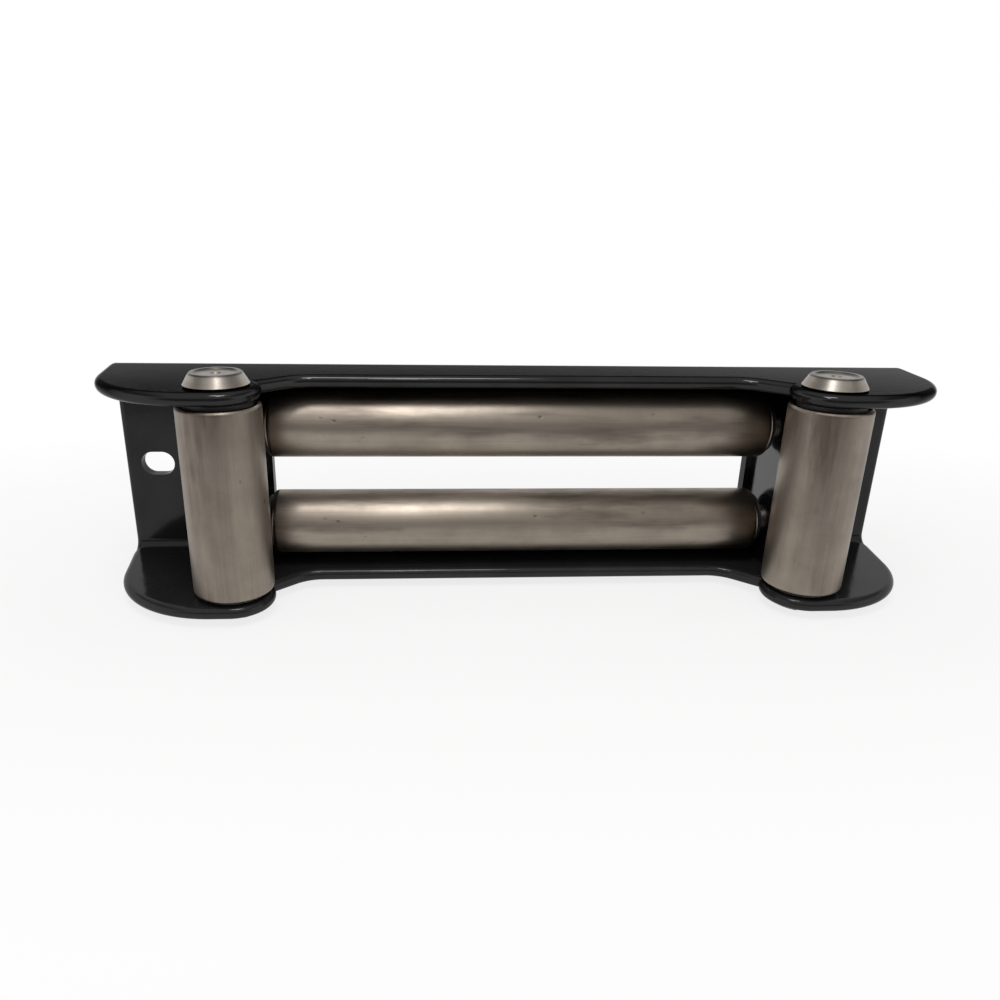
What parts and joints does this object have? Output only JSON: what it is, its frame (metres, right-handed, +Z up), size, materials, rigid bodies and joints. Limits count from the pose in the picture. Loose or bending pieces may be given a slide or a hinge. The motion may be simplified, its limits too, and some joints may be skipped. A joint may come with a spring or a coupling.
{
  "type": "roller fairlead",
  "caption": "Pressed channel frame with upright and level steel rollers that guide a winch rope or cable through a wide slot, bolted on through slotted holes.",
  "frame": {"origin": "midway between the two mounting slots, on the rear mounting face", "axes": "+X along the rope opening, +Y out of the rear mounting face, +Z up"},
  "size_m": [0.2764, 0.0555, 0.0788],
  "materials": {
    "black_paint": "gloss black paint over rounded sheet edges",
    "roller_steel": "satin turned steel with light handling marks",
    "pin_steel": "bright turned steel",
    "spring_steel": "dark spring steel",
    "bush_nylon": "dark moulded nylon"
  },
  "bodies": {
    "chassis": {"frame": "black_paint", "left_cheek": "black_paint", "right_cheek": "black_paint", "left_pin": "pin_steel", "right_pin": "pin_steel", "left_pin_clip": "spring_steel", "right_pin_clip": "spring_steel", "upper_axle": "pin_steel", "lower_axle": "pin_steel", "upper_axle_clip": "spring_steel", "lower_axle_clip": "spring_steel"},
    "left_upright": {"left_roller": "roller_steel", "left_top_bush": "bush_nylon", "left_bottom_bush": "bush_nylon"},
    "right_upright": {"right_roller": "roller_steel", "right_top_bush": "bush_nylon", "right_bottom_bush": "bush_nylon"},
    "upper_level": {"upper_roller": "roller_steel", "upper_left_bush": "bush_nylon", "upper_right_bush": "bush_nylon"},
    "lower_level": {"lower_roller": "roller_steel", "lower_left_bush": "bush_nylon", "lower_right_bush": "bush_nylon"}
  },
  "joints": [
    {"name": "left_spin", "type": "hinge", "parent": "chassis", "child": "left_upright", "pos_m": [-0.0945, -0.0427, 0], "axis": [0, 0, 1], "continuous": true},
    {"name": "right_spin", "type": "hinge", "parent": "chassis", "child": "right_upright", "pos_m": [0.0945, -0.0427, 0], "axis": [0, 0, 1], "continuous": true},
    {"name": "upper_spin", "type": "hinge", "parent": "chassis", "child": "upper_level", "pos_m": [0, -0.0162, 0.0175], "axis": [1, 0, 0], "continuous": true},
    {"name": "lower_spin", "type": "hinge", "parent": "chassis", "child": "lower_level", "pos_m": [0, -0.0162, -0.0175], "axis": [1, 0, 0], "continuous": true}
  ]
}
